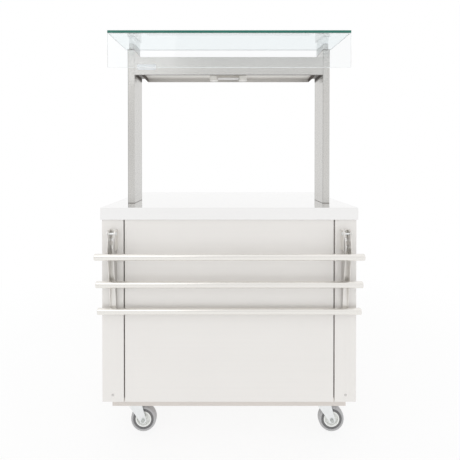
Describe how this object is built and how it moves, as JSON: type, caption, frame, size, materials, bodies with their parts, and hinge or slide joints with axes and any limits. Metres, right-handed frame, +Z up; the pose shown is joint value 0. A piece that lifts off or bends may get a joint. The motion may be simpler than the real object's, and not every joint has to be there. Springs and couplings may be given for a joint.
{
  "type": "mobile serving counter",
  "caption": "Stainless serving counter on castors with a folding tray slide, rear doors and a gantry that holds a lamp canopy and a glass screen.",
  "frame": {"origin": "on the floor under the middle of the whole outline, tray slide folded and door handles included", "axes": "+Z up; -Y towards the customer, who faces the tray slide; +X to the customer's right"},
  "size_m": [0.97, 0.7348, 1.5731],
  "materials": {
    "steel_sheet": "satin brushed",
    "steel_frame": "satin brushed, folded",
    "steel_tube": "bright satin",
    "zinc_plate": "zinc plated",
    "clear_glass": "clear with green edges",
    "clear_seal": "clear pad and bond",
    "grey_rubber": "smooth non-marking",
    "white_core": "moulded",
    "ceramic": "white ceramic",
    "core_board": "raw board",
    "black_plastic": "moulded",
    "lamp_glass": "clear tube"
  },
  "bodies": {
    "counter": {"worktop": "steel_sheet", "worktop_core": "core_board", "side_panel_left": "steel_sheet", "side_panel_right": "steel_sheet", "front_panel": "steel_sheet", "front_stiles": "steel_frame", "base_rails": "steel_sheet", "bottom_shelf": "steel_sheet", "middle_shelf": "steel_sheet", "shelf_runners": "steel_frame", "rear_top_rail": "steel_sheet", "door_hinge_pins": "zinc_plate", "door_catches": "steel_frame", "tray_bracket_left": "steel_frame", "tray_bracket_right": "steel_frame", "bracket_bolts": "zinc_plate", "tray_pins": "zinc_plate", "post_left": "steel_sheet", "post_right": "steel_sheet", "canopy_housing": "steel_sheet", "canopy_ceiling": "steel_sheet", "canopy_brackets": "steel_frame", "lamp_holders": "ceramic", "lamp_tube": "lamp_glass", "switch_body": "black_plastic", "cable_gland": "black_plastic", "glass_supports": "steel_sheet", "top_glass": "clear_glass", "front_glass": "clear_glass", "glass_seats": "clear_seal", "castor_plates": "zinc_plate"},
    "tray_slide": {"tray_arm_left": "steel_frame", "tray_arm_right": "steel_frame", "tray_tube_top": "steel_tube", "tray_tube_middle": "steel_tube", "tray_tube_bottom": "steel_tube", "tray_tube_caps": "steel_tube"},
    "door_on_left": {"left_door": "steel_sheet", "left_door_handle": "zinc_plate"},
    "door_on_right": {"right_door": "steel_sheet", "right_door_handle": "zinc_plate"},
    "rocker": {"switch_rocker": "black_plastic"},
    "castor_front_left": {"fork_front_left": "zinc_plate", "axle_front_left": "zinc_plate"},
    "wheel_front_left": {"core_front_left": "white_core", "tyre_front_left": "grey_rubber"},
    "castor_front_right": {"fork_front_right": "zinc_plate", "axle_front_right": "zinc_plate"},
    "wheel_front_right": {"core_front_right": "white_core", "tyre_front_right": "grey_rubber"},
    "castor_rear_left": {"fork_rear_left": "zinc_plate", "axle_rear_left": "zinc_plate"},
    "wheel_rear_left": {"core_rear_left": "white_core", "tyre_rear_left": "grey_rubber"},
    "pedal_left": {"brake_pedal_left": "steel_frame"},
    "castor_rear_right": {"fork_rear_right": "zinc_plate", "axle_rear_right": "zinc_plate"},
    "wheel_rear_right": {"core_rear_right": "white_core", "tyre_rear_right": "grey_rubber"},
    "pedal_right": {"brake_pedal_right": "steel_frame"}
  },
  "joints": [
    {"name": "tray_fold", "type": "hinge", "parent": "counter", "child": "tray_slide", "pos_m": [0, -0.32657, 0.806], "axis": [-1, 0, 0], "range_deg": [0, 98.8]},
    {"name": "left_door_swing", "type": "hinge", "parent": "counter", "child": "door_on_left", "pos_m": [-0.4385, 0.32843, 0.1795], "axis": [0, 0, 1], "range_deg": [0, 90]},
    {"name": "right_door_swing", "type": "hinge", "parent": "counter", "child": "door_on_right", "pos_m": [0.4385, 0.32843, 0.1795], "axis": [0, 0, -1], "range_deg": [0, 90]},
    {"name": "rocker_tip", "type": "hinge", "parent": "counter", "child": "rocker", "pos_m": [0.297, -0.03857, 1.467], "axis": [-1, 0, 0], "range_deg": [0, 16]},
    {"name": "swivel_front_left", "type": "hinge", "parent": "counter", "child": "castor_front_left", "pos_m": [-0.373, -0.21457, 0.128], "axis": [0, 0, 1], "continuous": true},
    {"name": "roll_front_left", "type": "hinge", "parent": "castor_front_left", "child": "wheel_front_left", "pos_m": [-0.339, -0.21457, 0.05], "axis": [0, 1, 0], "continuous": true},
    {"name": "swivel_front_right", "type": "hinge", "parent": "counter", "child": "castor_front_right", "pos_m": [0.373, -0.21457, 0.128], "axis": [0, 0, 1], "continuous": true},
    {"name": "roll_front_right", "type": "hinge", "parent": "castor_front_right", "child": "wheel_front_right", "pos_m": [0.407, -0.21457, 0.05], "axis": [0, 1, 0], "continuous": true},
    {"name": "swivel_rear_left", "type": "hinge", "parent": "counter", "child": "castor_rear_left", "pos_m": [-0.373, 0.24543, 0.128], "axis": [0, 0, 1], "continuous": true},
    {"name": "roll_rear_left", "type": "hinge", "parent": "castor_rear_left", "child": "wheel_rear_left", "pos_m": [-0.339, 0.24543, 0.05], "axis": [0, 1, 0], "continuous": true},
    {"name": "pedal_press_left", "type": "hinge", "parent": "castor_rear_left", "child": "pedal_left", "pos_m": [-0.349, 0.24543, 0.104], "axis": [0, 1, 0], "range_deg": [0, 10]},
    {"name": "swivel_rear_right", "type": "hinge", "parent": "counter", "child": "castor_rear_right", "pos_m": [0.373, 0.24543, 0.128], "axis": [0, 0, 1], "continuous": true},
    {"name": "roll_rear_right", "type": "hinge", "parent": "castor_rear_right", "child": "wheel_rear_right", "pos_m": [0.407, 0.24543, 0.05], "axis": [0, 1, 0], "continuous": true},
    {"name": "pedal_press_right", "type": "hinge", "parent": "castor_rear_right", "child": "pedal_right", "pos_m": [0.397, 0.24543, 0.104], "axis": [0, 1, 0], "range_deg": [0, 10]}
  ]
}
